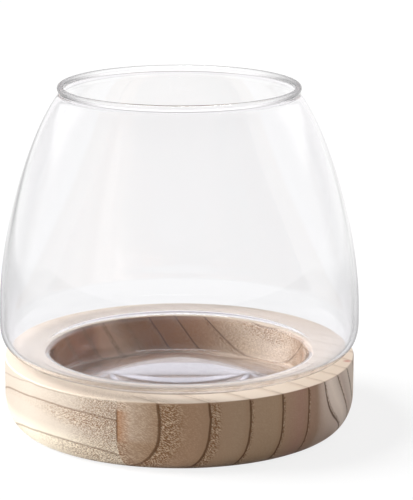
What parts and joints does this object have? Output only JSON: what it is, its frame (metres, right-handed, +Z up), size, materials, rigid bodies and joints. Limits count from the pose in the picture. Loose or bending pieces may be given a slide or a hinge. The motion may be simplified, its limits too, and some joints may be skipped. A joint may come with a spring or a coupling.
{
  "type": "hydroponic vase",
  "caption": "Round clear-glass vase with a wide belly and a narrower rimmed mouth, its foot standing in the recess of a turned wooden base with a rounded lower edge.",
  "frame": {"origin": "centre of the wooden base's underside, on the surface that the vase stands on", "axes": "+Z up along the axis that both pieces are turned about; -Y is the side that the picture shows"},
  "size_m": [0.169, 0.169, 0.1611],
  "materials": {
    "wood": "pale open-grained softwood, sanded and left with a thin matt seal",
    "clear_glass": "clear blown glass with a fire-polished rim"
  },
  "bodies": {
    "base": {"wooden_base": "wood"},
    "vase": {"glass_vase": "clear_glass"}
  },
  "joints": [
    {"name": "vase_lift", "type": "slide", "parent": "base", "child": "vase", "axis": [0, 0, 1], "range_m": [0, 0.1]}
  ]
}
